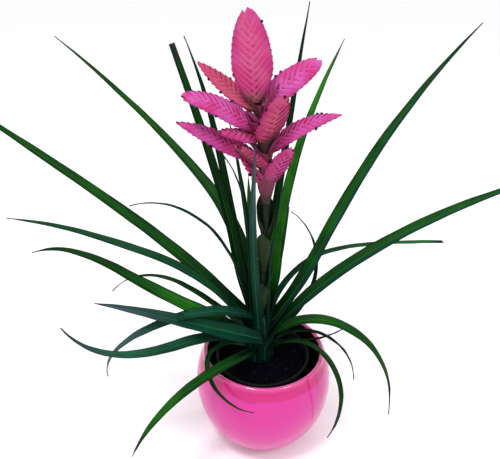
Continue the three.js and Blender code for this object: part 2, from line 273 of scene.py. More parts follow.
bisque = Finish("unglazed_foot", 0.85)
bisque.set("Base Color", bisque.mix(
    bisque.noise(bisque.where(), 160.0, 5.0), (0.62, 0.50, 0.42), (0.74, 0.64, 0.56),
))
bisque.bump(bisque.noise(bisque.where(), 900.0, 4.0), 0.0003, 0.5)

bm = turned(outline, 144)
for face in bm.faces:
    middle = face.calc_center_median()
    faces_axis = face.normal.xy.dot(middle.xy) < -1e-6
    on_floor = abs(middle.z - POT_FLOOR) < 0.001 and face.normal.z > 0
    if faces_axis and middle.z < lip_level - 0.001:
        face.material_index = 1
    elif on_floor and middle.xy.length < 0.04:
        face.material_index = 1
    elif middle.z < 0.001:
        face.material_index = 2
cachepot = finished("glazed_cachepot", bm, glaze, inner_painted_shade, bisque)
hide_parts("cachepot")
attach(cachepot, "root")

# ---- nursery pot -------------------------------------------------------------------
# The grower's thin black polypropylene pot, thermoformed with a turned-down stacking
# rim and faint ribs; it stands loose inside the cachepot, a little off its centre.
INNER_CENTRE = Vector((-0.001, 0.002, 0))
INNER_FLOOR = 0.0063
INNER_TOP = 0.103
INNER_RADIUS = 0.050
INNER_FOOT = 0.034
INNER_WALL = 0.0014
RIB_COUNT = 24
RIB_DEPTH = 0.0003


def inner_radius(level):
    share = (level - INNER_FLOOR) / (INNER_TOP - INNER_FLOOR)
    return INNER_FOOT + (INNER_RADIUS - 0.002 - INNER_FOOT) * share


inner_outline = [(0, INNER_FLOOR), (INNER_FOOT - 0.002, INNER_FLOOR)]
inner_outline += [(INNER_FOOT, INNER_FLOOR + 0.002)]
inner_outline += [(inner_radius(0.02 * i), 0.02 * i) for i in range(1, 5)]
inner_outline += [
    (inner_radius(0.0955), 0.0955), (INNER_RADIUS - 0.0006, 0.0958), (INNER_RADIUS, 0.0966),
    (INNER_RADIUS, INNER_TOP - 0.001), (INNER_RADIUS - 0.0008, INNER_TOP),
    (INNER_RADIUS - 0.0026, INNER_TOP), (inner_radius(INNER_TOP) - INNER_WALL, INNER_TOP - 0.0008),
    (inner_radius(INNER_FLOOR) - INNER_WALL, INNER_FLOOR + INNER_WALL),
    (0, INNER_FLOOR + INNER_WALL),
]
bm = turned(inner_outline, 120, INNER_CENTRE)
for vert in bm.verts:
    spoke = vert.co - INNER_CENTRE
    if 0.02 < vert.co.z < 0.095:
        turn = math.atan2(spoke.y, spoke.x)
        spoke.z = 0
        vert.co += spoke.normalized() * RIB_DEPTH * math.cos(RIB_COUNT * turn)

# Darker than black plastic is: partly the pot's own black, partly painted shade inside the
# cachepot.
black_plastic = Finish("black_nursery_plastic", 0.45, Specular_IOR_Level=0.10)
black_plastic.set("Base Color", black_plastic.mix(
    black_plastic.noise(black_plastic.where(), 70.0, 4.0),
    (0.002, 0.002, 0.003), (0.005, 0.005, 0.007),
))
dust = black_plastic.noise(black_plastic.where(), 400.0, 4.0)
black_plastic.set("Roughness", 0.34 + 0.3 * dust)
black_plastic.bump(dust, 0.0002, 0.3)
nursery = finished("black_nursery_pot", bm, black_plastic)
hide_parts("nursery_pot")
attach(nursery, "root")

# ---- soil --------------------------------------------------------------------------
# Damp peat and bark potting mix, pressed round the plant: an uneven crumbly bed with loose
# crumbs, bark flakes and a few grains of perlite lying on it. The peat is dark of itself, but
# all three are coloured darker still, near black, as painted shade inside the pot.
SOIL_TOP = 0.0985
SOIL_BOTTOM = 0.0085
SOIL_EDGE = 0.0945
SOIL_DROP = 0.0035
CRUMB_COUNT = 520
chance = random.Random(11)

crumbs = Finish("peat_and_bark", 0.9, Specular_IOR_Level=0.03)
grain = crumbs.noise(crumbs.where(), 420.0, 6.0, 0.65)
clumps = crumbs.noise(crumbs.where(), 120.0, 3.0)
# Near-black earth: partly damp peat's own dark colour, partly painted shade inside the pot.
earth = crumbs.mix(grain.over(0.35, 0.7), (0.0002, 0.0005, 0.0016), (0.0018, 0.0022, 0.0052))
crumbs.set("Base Color", crumbs.mix(clumps.over(0.55, 0.7) * 0.5, earth, (0.005, 0.004, 0.005)))
crumbs.set("Roughness", 0.75 + 0.2 * grain)
crumbs.bump(grain + clumps, 0.0012, 0.8)

bark = Finish("bark_flakes", 0.8, Specular_IOR_Level=0.05)
strip = bark.noise(bark.stretched(bark.where(), (300, 900, 500)), 1.0, 4.0)
# Near-black flakes, darker than bark is: painted shade inside the pot.
bark.set("Base Color", bark.mix(strip, (0.001, 0.001, 0.002), (0.008, 0.005, 0.006)))
bark.bump(strip, 0.0005, 0.6)

perlite = Finish("perlite_grains", 0.9)
# Dark grey grains, though perlite is pale white in life: painted shade inside the pot.
perlite.set("Base Color", perlite.mix(
    perlite.noise(perlite.where(), 900.0), (0.02, 0.018, 0.017), (0.06, 0.055, 0.05),
))
perlite.bump(perlite.noise(perlite.where(), 1500.0), 0.0004, 0.6)


def soil_level(reach):
    return SOIL_TOP - SOIL_DROP * (reach / 0.046) ** 3


bed = [(0, SOIL_BOTTOM), (inner_radius(SOIL_BOTTOM) - 0.002, SOIL_BOTTOM)]
bed += [(inner_radius(SOIL_EDGE) - 0.002, SOIL_EDGE)]
bed += [(radius * 0.001, soil_level(radius * 0.001)) for radius in range(44, 1, -1)]
bed += [(0, SOIL_TOP)]
bm = turned(bed, 120, INNER_CENTRE)
for vert in bm.verts:
    reach = (vert.co - INNER_CENTRE).xy.length
    if vert.co.z > SOIL_EDGE + 0.0001 and reach < 0.0445:
        vert.co.z += 0.0011 * noise.noise(vert.co * 260) + 0.0007 * noise.noise(vert.co * 700)


def crumb(bm, place, size, finish):
    """A rough grain of the given sizes, turned at random."""
    made = bmesh.ops.create_icosphere(bm, subdivisions=1, radius=0.5)["verts"]
    angle = chance.uniform(0, 6.28)
    turn = Matrix.Rotation(angle, 3, Vector((chance.gauss(0, 1), chance.gauss(0, 1), 1)))
    for vert in made:
        rough = 1 + 0.35 * noise.noise(vert.co * 4 + place * 900)
        stretched = Vector((vert.co.x * size[0], vert.co.y * size[1], vert.co.z * size[2]))
        vert.co = place + turn @ (stretched * rough)
    for face in {face for vert in made for face in vert.link_faces}:
        face.material_index = finish


for _ in range(CRUMB_COUNT):
    reach = 0.0435 * math.sqrt(chance.random())
    turn = chance.uniform(0, 2 * math.pi)
    flat_place = Vector((reach * math.cos(turn), reach * math.sin(turn), soil_level(reach)))
    place = INNER_CENTRE + flat_place
    kind = chance.random()
    if kind < 0.70:
        size = [chance.uniform(0.0010, 0.0026) for _ in range(3)]
        crumb(bm, place, size, 0)
    elif kind < 0.97:
        long = chance.uniform(0.0025, 0.006)
        crumb(bm, place, (long, long * 0.45, 0.0012), 1)
    else:
        crumb(bm, place, (0.0016, 0.0014, 0.0014), 2)
soil = finished("potting_mix", bm, crumbs, bark, perlite)
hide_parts("soil")
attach(soil, "root")

# ---- leaves ------------------------------------------------------------------------
# Long smooth straps, channelled down the middle, grown from broad sheaths that wrap the
# crown. The upper face is a clear green, the underside blue-green with fine scales; tips
# dry to a grey-brown thread. Two were trimmed and end square.
CROWN = Vector((-0.004, 0.006, 0))
CROWN_FOOT = 0.0993
CROWN_HEIGHT = 0.0507
STATIONS = 56
SHEATH_RINGS = 6
SHEATH_DEPTH = 0.016
BLADE_COLUMNS = 14
BLADE_THICKNESS = 0.0008
THINNEST_TIP = 0.0004

# Lengths in millimetres, angles in degrees. A blade grows from `side` of the crown at
# `level`, and `heading`, `rise` and `roll` change evenly along it.
# `tone` lists each blade's brightness along it: partly the leaf's own green, partly painted light
# and shade.
LEAVES = {
    "leaf_left_low": dict(
        side=222, level=118, length=212, width=13,
        heading=[212, 205, 198], rise=[50, 19, -2, 10, 38, 68],
        roll=[15, 25], tone=[0.2, 0.5, 0.7, 0.4], cool=(0.9, 0.9),
    ),
    "leaf_front_wide": dict(
        side=250, level=112, length=175, width=13,
        heading=[232, 222, 214], rise=[21, 9, -7, -33, -63],
        roll=[0, 20], tone=[0.1, 0.5, 0.7, 0.6],
    ),
    "leaf_front_curl": dict(
        side=195, level=112, length=134, width=6,
        heading=[190, 198, 232, 270, 297, 318, 335, 350], rise=[30, 8, 0, -14, -28, -20, -13, 5],
        tone=[0.3, 0.3],
    ),
    "leaf_right_drooping": dict(
        side=290, level=116, length=229, width=12, out=3,
        heading=[352, 345], rise=[74, 31, -18, -52, -76, -93],
        roll=[-20, -10], tone=[0.1, 0.6, 0.5, 0.3],
    ),
    "leaf_right_thin": dict(
        side=305, level=111, length=205, width=7,
        heading=[345, 325, 305, 290, 280], rise=[55, 15, -39, -89, -110, -119],
        tone=[0.2, 0.3, 0.1],
    ),
    "leaf_right_hooked": dict(
        side=338, level=116, length=130, width=5,
        heading=[356, 350, 345], rise=[56, 13, -29, -62, -88],
        tone=[0.1, 0.1],
    ),
    "leaf_right_short": dict(
        side=10, level=112, length=84, width=4,
        heading=[355, 362], rise=[12, 4, 10, 27, 48],
        tone=[0.1, 0.0],
    ),
    "leaf_left_front": dict(
        side=285, level=132, length=178, width=19, out=8,
        heading=[200, 195, 190], rise=[28, 27, 26, 24, 18],
        roll=[25, 20], tone=[0.3, 0.4, 0.3, 0.2], cool=(1, 0.9), fold=16, belly=0.15, bare=True,
    ),
    "leaf_left_broad": dict(
        side=219, level=128, length=240, width=17, out=2.5,
        heading=[199, 191, 188], rise=[42, 39, 37, 39, 41, 25, -19],
        roll=[25, 20], tone=[0.7, 0.95, 0.3, 0.15],
    ),
    "leaf_left_drooping": dict(
        side=250, level=152, length=190, width=13,
        heading=[206, 202, 197, 192, 190], rise=[38, 23, 5, -12, -24, -50, -100],
        roll=[15, 15], tone=[0.3, 0.5, 0.6], cool=(1, 1), fold=18, bare=True,
    ),
    "leaf_left_hooked": dict(
        side=138, level=126, length=180, width=9,
        heading=[146, 165, 178], rise=[9, 27, 23, -12, -55],
        tone=[0.1, 0.5, 0.3],
    ),
    "leaf_left_twisted": dict(
        side=188, level=129, length=275, width=12,
        heading=[192, 187, 184], rise=[68, 48, 28, 22, 8],
        roll=[10, 30], tone=[0.2, 0.5, 0.5], cool=(0.8, 0.5),
    ),
    "leaf_left_long": dict(
        side=163, level=141, length=370, width=15,
        heading=[168, 174, 176], rise=[48, 43, 39, 37, 37, 35],
        roll=[20, 25], tone=[0.2, 0.5, 0.55, 0.45],
    ),
    "leaf_right_long": dict(
        side=354, level=127, length=345, width=15, out=2,
        heading=[3, 14], rise=[57, 43, 32, 23, 15, 8],
        roll=[-20, -20], tone=[0.2, 0.45, 0.6, 0.45], cool=(0, 0.7),
    ),
    "leaf_right_tall": dict(
        side=26, level=134, length=368, width=15,
        heading=[22, 26, 26], rise=[48, 63, 56, 46, 38],
        roll=[-15, -15], tone=[0.3, 0.65, 0.5, 0.1], cool=(0, 0.8),
    ),
    "leaf_right_cut": dict(
        side=55, level=127, length=271, width=8,
        heading=[48, 28, 8], rise=[77, 33, -1, -9, -7, -6],
        tone=[0.2, 0.5, 0.9], cool=(0.5, 0.7), cut=0.45,
    ),
    "leaf_right_recurved": dict(
        side=38, level=119, length=190, width=6,
        heading=[36, 38], rise=[0, 43, 89, 119, 140],
        tone=[0.0, 0.1],
    ),
    "leaf_back_arched": dict(
        side=176, level=142, length=200, width=7,
        heading=[165, 174, 178], rise=[84, 74, 56, 22, -22],
        tone=[0.2, 0.3], cool=(0.3, 0.6),
    ),
    "leaf_back_short": dict(
        side=82, level=134, length=54, width=8,
        heading=[62, 50], rise=[30, 35, 45, 62, 75],
        tone=[0.1, 0.1],
    ),
    "leaf_back_left": dict(
        side=105, level=126, length=190, width=13,
        heading=[95, 92], rise=[50, 40, 30, 15],
        tone=[0.2, 0.5],
    ),
    "leaf_back_right": dict(
        side=62, level=122, length=170, width=12,
        heading=[75, 80], rise=[45, 35, 20, 0],
        tone=[0.2, 0.5],
    ),
    "leaf_back_low": dict(
        side=85, level=114, length=150, width=11,
        heading=[86, 86], rise=[35, 15, -20, -50],
        tone=[0.2, 0.5],
    ),
    "leaf_left_tall": dict(
        side=100, level=136, length=394, width=14,
        heading=[108, 130, 158, 166], rise=[69, 46, 31, 39, 39, 36],
        roll=[10, 20], tone=[0.1, 0.5, 0.6, 0.3], belly=0.15,
    ),
    "leaf_upright_bright": dict(
        side=30, level=140, length=294, width=14, out=2,
        heading=[50, 46, 42], rise=[87, 80, 72, 60, 51],
        tone=[0.3, 1.3, 1.0, 0.7], fold=12, belly=0.45,
    ),
    "leaf_upright_back": dict(
        side=60, level=142, length=314, width=10,
        heading=[70, 62, 56], rise=[83, 74, 71, 74, 73],
        tone=[0.0, 0.0],
    ),
    "leaf_upright_dark": dict(
        side=118, level=144, length=287, width=10.5,
        heading=[142, 145], rise=[67, 78, 79, 73, 61],
        roll=[30, 30], tone=[0.05, 0.3, 0.2, 0.0], belly=0.15,
    ),
    "leaf_upright_cut": dict(
        side=154, level=146, length=281, width=10, out=2,
        heading=[152, 152], rise=[75, 79, 73, 70, 69],
        roll=[30, 30], tone=[0.0, 0.15, 0.45], cut=0.3, belly=0.15,
    ),
    "leaf_upright_thin": dict(
        side=200, level=146, length=201, width=6,
        heading=[160, 170, 180], rise=[87, 89, 88, 74, 44],
        tone=[0.1, 0.1], cool=(0.5, 0.5),
    ),
    "leaf_upright_slim": dict(
        side=95, level=147, length=203, width=7,
        heading=[105, 112, 120], rise=[59, 66, 70, 66, 61],
        tone=[0.1, 0.1],
    ),
    "leaf_upright_front": dict(
        side=262, level=144, length=222, width=9, out=3,
        heading=[258, 258, 300], rise=[75, 76, 79, 82, 83],
        tone=[0.1, 0.3, 0.2], cool=(1, 0.9),
    ),
    "leaf_upright_side": dict(
        side=340, level=143, length=182, width=9, out=2,
        heading=[350, 350], rise=[94, 89, 83, 84, 85],
        tone=[0.1, 0.2],
    ),
}


def along(values, share):
    """The value at `share` of the way through evenly spaced values."""
    place = share * (len(values) - 1)
    index = min(int(place), len(values) - 2)
    return values[index] + (values[index + 1] - values[index]) * (place - index)


def ahead_of(heading, rise):
    return Vector((
        math.cos(math.radians(heading)) * math.cos(math.radians(rise)),
        math.sin(math.radians(heading)) * math.cos(math.radians(rise)),
        math.sin(math.radians(rise)),
    ))


def walked(start, length, heading, rise, roll):
    """Stations (point, right-hand side, upper face) from the base to the tip of a blade."""
    point = start.copy()
    stations = []
    for step in range(STATIONS + 1):
        share = step / STATIONS
        turn = along(heading, share)
        ahead = ahead_of(turn, along(rise, share))
        level = Vector((math.sin(math.radians(turn)), -math.cos(math.radians(turn)), 0))
        side = Matrix.Rotation(-math.radians(along(roll, share)), 3, ahead) @ level
        stations.append((point.copy(), side, side.cross(ahead)))
        point += ahead * (length / STATIONS)
    return stations


def crown_radius(level):
    return 0.014 - 0.006 * (level - CROWN_FOOT) / CROWN_HEIGHT


def crown_point(side, level, out):
    radius = crown_radius(level) + out
    return CROWN + Vector((
        radius * math.cos(math.radians(side)), radius * math.sin(math.radians(side)), level,
    ))


def arc_corner(point, side, across, radius):
    """A corner of a section that wraps the crown, `across` to the right of its middle."""
    start = math.radians(side)
    turn = start - across / radius
    shift = Vector((math.cos(turn) - math.cos(start), math.sin(turn) - math.sin(start), 0))
    return point + radius * shift


def smooth(value):
    """Eases from 0 to 1 as `value` does."""
    value = min(max(value, 0), 1)
    return value * value * (3 - 2 * value)


def leaf_mesh(
    side, level, length, width, heading, rise, tone, seed,
    roll=(0, 0), cool=(0, 0), out=1.4, cut=0, fold=27, belly=0, bare=False,
):
    """`tone` runs from dark to bright along the leaf, partly its own green and partly painted
    light and shade; `cool` is how blue-green its halves are.
    """
    level, length, width, out = level * 0.001, length * 0.001, width * 0.001, out * 0.001
    path = walked(crown_point(side, level, out), length, heading, rise, roll)
    rings = SHEATH_RINGS + STATIONS
    bm = bmesh.new()
    fibres = bm.loops.layers.uv.new("fibres")
    share_of = bm.verts.layers.float.new("share")
    across_of = bm.verts.layers.float.new("across")
    tone_of = bm.verts.layers.float.new("tone")
    cool_of = bm.verts.layers.float.new("cool")
    bmesh.ops.create_grid(bm, x_segments=BLADE_COLUMNS, y_segments=rings, size=1)
    flat = {}
    for vert in bm.verts:
        a = vert.co.x
        ring = round((vert.co.y + 1) / 2 * rings) - SHEATH_RINGS
        share = max(ring, 0) / STATIONS
        natural = share * (1 - cut)
        taper = max(1 - natural ** 2.1, 0) ** 0.92
        opening = smooth(ring / 10)
        blade = max(width * taper * (0.72 + 0.28 * smooth(share / 0.2)), THINNEST_TIP)
        blade *= 1 + belly * math.exp(-((share - 0.22) / 0.13) ** 2)
        blade *= 1 + 0.04 * noise.noise(Vector((share * 9, seed, 0)))
        wrap = max(width * 1.3, 0.009)
        if ring < 0:
            drop = -ring / SHEATH_RINGS
            point = crown_point(side, level - SHEATH_DEPTH * drop, out * (1 - 0.7 * drop))
        else:
            point = path[ring][0]
        radius = crown_radius(level) + 0.002
        corner = arc_corner(point, side, a * wrap / 2, radius)
        if ring > 0:
            point, right, upper = path[ring]
            depth = math.tan(math.radians(fold)) * blade / 4
            above = 2 * depth * (math.sqrt(a * a + 0.012) - 0.5)
            ripple = 0.0006 * noise.noise(Vector((share * 14, a * 0.8, seed * 3.1)))
            channel = point + right * (a * blade / 2) + upper * (above + ripple)
            opening = 1 if bare else opening
            corner = corner.lerp(channel, opening)
        vert[share_of] = share
        vert[across_of] = a
        vert[tone_of] = along(tone, share)
        vert[cool_of] = cool[0] + (cool[1] - cool[0]) * smooth(0.5 + 4 * a)
        flat[vert] = (a * blade / 2, ring * length / STATIONS)
        vert.co = corner
    for face in bm.faces:
        for loop in face.loops:
            loop[fibres].uv = flat[loop.vert]
    if bare:
        bmesh.ops.delete(bm, geom=[v for v in bm.verts if v[share_of] == 0], context="VERTS")
    return bm


def leaf_finish(name, greens, teals, dry, rough, fibre):
    """`greens` and `teals` each run from the darkest leaf to the brightest."""
    finish = Finish(name, rough, Specular_IOR_Level=0.07)
    flat = finish.uv("fibres")
    share = finish.attribute("share")
    across = abs(finish.attribute("across"))
    tone = finish.attribute("tone")
    cool = finish.attribute("cool")
    veins = finish.noise(finish.stretched(flat, (1500, 22, 1)), 1.0, 3.0, 0.6)
    bands = finish.noise(finish.stretched(flat, (420, 9, 1)), 1.0, 2.0)
    blotch = finish.noise(finish.where(), 38.0, 3.0)
    dark = finish.mix(cool, greens[0], teals[0])
    middle = finish.mix(cool, greens[1], teals[1])
    bright = finish.mix(cool, greens[2], teals[2])
    # Blending by `tone` makes each blade lighter or darker: partly its own green, partly painted
    # light and shade.
    low = finish.mix(tone.over(0.0, 0.55), dark, middle)
    colour = finish.mix(tone.over(0.45, 1.0), low, bright)
    colour = finish.mix((bands + blotch).over(0.8, 1.25) * 0.6, colour, dark)
    colour = finish.mix(veins.over(0.45, 0.75) * fibre, colour, bright)
    # Darker towards the crown: painted shade among the sheaths.
    colour = finish.mix(share.over(0.26, 0.02) * 0.9, colour, dark)
    colour = finish.mix(across.over(0.16, 0.0) * 0.4, colour, bright)
    colour = finish.mix(across.over(0.72, 1.0) * 0.8, colour, dark)
    faded = cool.over(0.85, 0.95) * share.over(0.45, 0.95) * 0.7
    colour = finish.mix(faded, colour, (0.060, 0.085, 0.115))
    colour = finish.mix((share + blotch * 0.06).over(0.95, 1.02), colour, dry)
    finish.set("Base Color", colour)
    finish.set("Roughness", rough + 0.16 * veins)
    finish.bump(veins + bands * 0.8, 0.00022, 0.55)
    return finish


GREENS = [(0.0004, 0.010, 0.0025), (0.0030, 0.047, 0.0035), (0.020, 0.170, 0.008)]
TEALS = [(0.0010, 0.016, 0.011), (0.0045, 0.055, 0.028), (0.018, 0.145, 0.058)]
upper_face = leaf_finish("leaf_upper_face", GREENS, TEALS, (0.012, 0.016, 0.022), 0.40, 0.22)
under_face = leaf_finish("leaf_under_face", TEALS, TEALS, (0.012, 0.016, 0.022), 0.46, 0.35)

for seed, (name, values) in enumerate(LEAVES.items()):
    leaf = finished(name + "_blade", leaf_mesh(**values, seed=seed), upper_face, under_face)
    body = leaf.modifiers.new("body", "SOLIDIFY")
    body.thickness = BLADE_THICKNESS
    body.offset = 0
    body.material_offset = 1
    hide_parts(name)
    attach(leaf, "root")

# ---- crown -------------------------------------------------------------------------
# The short core of wrapped leaf bases that carries the rosette; only slivers of it show
# between the sheaths, dark and slightly ribbed.
core = Finish("leaf_base_core", 0.5)
ribs = core.noise(core.stretched(core.where(), (600, 600, 40)), 1.0, 3.0)
core.set("Base Color", core.mix(ribs, (0.003, 0.014, 0.008), (0.012, 0.045, 0.022)))
core.set("Roughness", 0.4 + 0.2 * ribs)
core.bump(ribs, 0.0006, 0.6)
crown_outline = [(0, 0.0985), (0.0145, 0.0985)]
crown_levels = [CROWN_FOOT + 0.005 * i for i in range(11)]
crown_outline += [(crown_radius(level) + 0.0004, level) for level in crown_levels]
crown_outline += [(0.004, 0.1515), (0, 0.1515)]
bm = turned(crown_outline, 64, CROWN)
for vert in bm.verts:
    spoke = vert.co - CROWN
    if spoke.xy.length > 0.002:
        turn = math.atan2(spoke.y, spoke.x)
        spoke.z = 0
        vert.co += spoke.normalized() * 0.0006 * math.sin(9 * turn + vert.co.z * 160)
crown = finished("crown_core", bm, core)
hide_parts("crown")
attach(crown, "root")

# ---- flower stem and its bracts ----------------------------------------------------
# The upright stalk, grey-green and lightly grooved, sheathed in overlapping boat-shaped
# bracts that are green at the foot and flush pink towards the flower head.
STEM_LINE = [(-4, 6, 150), (0, 6, 200), (1, 6, 250), (0, 6, 310), (-6, 6, 372)]
STEM_RADIUS = 0.0034


def stem_point(level, heading, spacing):
    """A point `spacing` off the stalk's skin, on the side of `heading`."""
    for low, high in zip(STEM_LINE, STEM_LINE[1:]):
        if level <= high[2] or high is STEM_LINE[-1]:
            share = (level - low[2]) / (high[2] - low[2])
            centre = Vector(low).lerp(Vector(high), share) * 0.001
            break
    reach = STEM_RADIUS + spacing * 0.001
    turn = math.radians(heading)
    return centre + Vector((reach * math.cos(turn), reach * math.sin(turn), 0))


stalk = Finish("flower_stalk", 0.55, Specular_IOR_Level=0.1)
grooves = stalk.noise(stalk.stretched(stalk.where(), (1200, 1200, 30)), 1.0, 3.0)
stalk_height = Amount(stalk, stalk.node("SeparateXYZ", {}, [stalk.where()], "Z"))
green = stalk.mix(grooves, (0.003, 0.010, 0.006), (0.014, 0.026, 0.014))
flush = stalk_height.over(0.29, 0.34) * 0.85
stalk.set("Base Color", stalk.mix(flush, green, (0.16, 0.022, 0.060)))
stalk.set("Roughness", 0.42 + 0.2 * grooves)
stalk.bump(grooves, 0.0005, 0.6)
bm = bmesh.new()
bm.from_mesh(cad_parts["flower_stem"].data)
bmesh.ops.remove_doubles(bm, verts=bm.verts, dist=1e-6)
stem = finished("grooved_stalk", bm, stalk)
rounding = stem.modifiers.new("rounding", "SUBSURF")
rounding.levels = 2
rounding.render_levels = 2
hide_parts("flower_stem")
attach(stem, "root")


def scale_mesh(level, heading, rise, length, width, spacing, wrap, pink, seed):
    """A boat-shaped bract that grips the stem at its foot and stands off at its point."""
    path = walked(stem_point(level, heading[0], spacing), length * 0.001, heading, rise, [0, 0])
    bm = bmesh.new()
    fibres = bm.loops.layers.uv.new("fibres")
    share_of = bm.verts.layers.float.new("share")
    across_of = bm.verts.layers.float.new("across")
    tone_of = bm.verts.layers.float.new("tone")
    bmesh.ops.create_grid(bm, x_segments=16, y_segments=28, size=1)
    flat = {}
    for vert in bm.verts:
        a = vert.co.x
        share = (vert.co.y + 1) / 2
        point, right, upper = path[round(share * STATIONS)]
        blade = width * 0.001 * (0.62 + 0.75 * share) * max(1 - share ** 3.0, 0) ** 0.62
        blade = max(blade, THINNEST_TIP)
        curl = wrap * (1 - 0.55 * share)
        radius = blade / (2 * curl)
        across = radius * math.sin(a * curl)
        above = radius * (1 - math.cos(a * curl))
        vert[share_of] = share
        vert[across_of] = a
        vert[tone_of] = pink
        flat[vert] = (a * blade / 2, share * length * 0.001)
        ripple = 0.0005 * noise.noise(Vector((share * 5, a, seed)))
        vert.co = point + right * across + upper * (above + ripple)
    for face in bm.faces:
        for loop in face.loops:
            loop[fibres].uv = flat[loop.vert]
    return bm


def bract_finish(name, leafy, pink):
    finish = Finish(name, 0.5, Specular_IOR_Level=0.12)
    flat = finish.uv("fibres")
    share = finish.attribute("share")
    across = abs(finish.attribute("across"))
    tone = finish.attribute("tone")
    veins = finish.noise(finish.stretched(flat, (1700, 60, 1)), 1.0, 3.0, 0.6)
    blotch = finish.noise(finish.where(), 90.0, 3.0)
    blush = (tone * (share + 0.4) + blotch * 0.25).over(0.35, 0.9)
    colour = finish.mix(blush, finish.mix(blotch, *leafy), finish.mix(veins, *pink))
    colour = finish.mix(veins.over(0.5, 0.75) * 0.12 * blush, colour, pink[1])
    colour = finish.mix(across.over(0.8, 1.0) * 0.5, colour, leafy[0])
    colour = finish.mix(share.over(0.93, 1.0) * 0.6, colour, (0.05, 0.02, 0.03))
    finish.set("Base Color", colour)
    finish.set("Roughness", 0.42 + 0.2 * veins)
    finish.bump(veins, 0.0003, 0.6)
    return finish


stem_scale = bract_finish(
    "stem_bract",
    [(0.003, 0.011, 0.007), (0.030, 0.046, 0.014)], [(0.11, 0.022, 0.045), (0.23, 0.040, 0.085)],
)
# Level, heading, length and how far the pink reaches.
STEM_BRACTS = {
    "stem_bract_1": (148, 260, 46, 0.0),
    "stem_bract_2": (174, 80, 48, 0.0),
    "stem_bract_3": (205, 245, 46, 0.1),
    "stem_bract_4": (240, 95, 48, 0.25),
    "stem_bract_5": (279, 268, 40, 0.75),
}


def shell(piece, thickness):
    body = piece.modifiers.new("body", "SOLIDIFY")
    body.thickness = thickness
    body.offset = 0


def sheath_mesh(level, heading, length, pink, seed):
    """A bract rolled right round the stem at its foot and cut away to a point above."""
    bm = bmesh.new()
    fibres = bm.loops.layers.uv.new("fibres")
    share_of = bm.verts.layers.float.new("share")
    across_of = bm.verts.layers.float.new("across")
    tone_of = bm.verts.layers.float.new("tone")
    bmesh.ops.create_grid(bm, x_segments=28, y_segments=24, size=1)
    flat = {}
    for vert in bm.verts:
        a = vert.co.x
        share = (vert.co.y + 1) / 2
        height = level + share * length
        half_turn = 3.2 * max(1 - share ** 1.7, 0.02)
        radius = 0.0038 + 0.0040 * smooth(share / 0.5) + 0.0004 * a
        radius += 0.0012 * share ** 3
        centre = stem_point(height, 0, 0) - Vector((STEM_RADIUS, 0, 0))
        centre.z = height * 0.001
        turn = math.radians(heading) + a * half_turn
        radius += 0.0003 * noise.noise(Vector((share * 4, a * 2, seed)))
        vert.co = centre + radius * Vector((math.cos(turn), math.sin(turn), 0))
        vert[share_of] = share
        vert[across_of] = a
        vert[tone_of] = pink
        flat[vert] = (a * half_turn * radius, share * length * 0.001)
    for face in bm.faces:
        for loop in face.loops:
            loop[fibres].uv = flat[loop.vert]
    return bm


for seed, (name, (level, heading, length, pink)) in enumerate(STEM_BRACTS.items()):
    scale = finished(name + "_sheath", sheath_mesh(level, heading, length, pink, seed), stem_scale)
    shell(scale, 0.0005)
    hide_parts(name)
    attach(scale, "root")

# ---- paddles -----------------------------------------------------------------------
# Flat flower spikes of stiff papery bracts in two ranks: each bract is folded along a
# keel that forms the toothed outer edge, and overlaps the next, so the faces show a
# herringbone. Withered florets cling to the edges as small dark curls.
PADDLES = {
    "paddle_top": dict(
        level=375, length=77, width=34, heading=180,
        rise=[86, 84], roll=90, full=0.62, warmth=0.55,
    ),
    "paddle_right_upper": dict(
        level=371, length=62, width=22, heading=12,
        rise=[50, 33, 29], roll=-55, full=0.5, warmth=0.2,
    ),
    "paddle_left_upper": dict(
        level=367, length=67, width=18, heading=154,
        rise=[32, 32, 32], roll=25, full=0.9, warmth=0.8,
    ),
    "paddle_left_broad": dict(
        level=350, length=76, width=21, heading=197,
        rise=[40, 31, 12], roll=45, full=0.5, warmth=0.2,
    ),
    "paddle_back_upper": dict(
        level=355, length=57, width=19, heading=90,
        rise=[50, 48], roll=0, full=0.6, warmth=0.4,
    ),
    "paddle_front_right": dict(
        level=340, length=53, width=34, heading=300,
        rise=[59, 64, 67], roll=-10, full=0.5, warmth=0.7,
    ),
    "paddle_left_small": dict(
        level=343, length=46, width=16, heading=217,
        rise=[18, 22], roll=30, full=0.8, warmth=0.5,
    ),
    "paddle_back_lower": dict(
        level=330, length=51, width=17, heading=75,
        rise=[35, 28], roll=0, full=0.6, warmth=0.4,
    ),
    "paddle_right_lower": dict(
        level=328, length=75, width=17, heading=352,
        rise=[53, 31, 10], roll=-40, full=0.95, warmth=0.3,
    ),
    "paddle_left_lower": dict(
        level=322, length=82, width=19, heading=184,
        rise=[28, 28, 23], roll=40, full=0.9, warmth=0.3,
    ),
    "paddle_front_left": dict(
        level=315, length=54, width=24, heading=237,
        rise=[46, 40, 32], roll=0, full=0.55, warmth=0.8,
    ),
    "paddle_right_bud": dict(
        level=300, length=48, width=20, heading=318,
        rise=[66, 58, 50], roll=30, full=0.6, warmth=0.5,
    ),
    "paddle_left_bud": dict(
        level=300, length=34, width=14, heading=200,
        rise=[50, 60], roll=30, full=0.7, warmth=0.6,
    ),
}
BRACT_STEP = 0.0026
PADDLE_HALF_THICKNESS = 0.0026
BRACT_THICKNESS = 0.00014
CORE_SHARE = 0.62


def paddle_half_width(share, width, full):
    """Broadest below the middle; `full` near 0.5 gives a round end, near 1 a long point."""
    share = min(max(share, 0), 1)
    foot = math.sin(math.pi / 2 * min(1, 0.14 + share / 0.48)) ** 0.9
    end = max(1 - max(0, (share - 0.32) / 0.68) ** 2.3, 0) ** full
    return width / 2 * foot * end


def on_paddle(path, length, x, y, z):
    """The place `x` across, `y` along and `z` off the middle sheet of a paddle."""
    spot = min(max(y / length, 0), 1) * STATIONS
    index = min(int(spot), STATIONS - 1)
    point = path[index][0].lerp(path[index + 1][0], spot - index)
    beyond = y - min(max(y, 0), length)
    ahead = (path[index + 1][0] - path[index][0]).normalized()
    return point + ahead * beyond + path[index][1] * x + path[index][2] * z


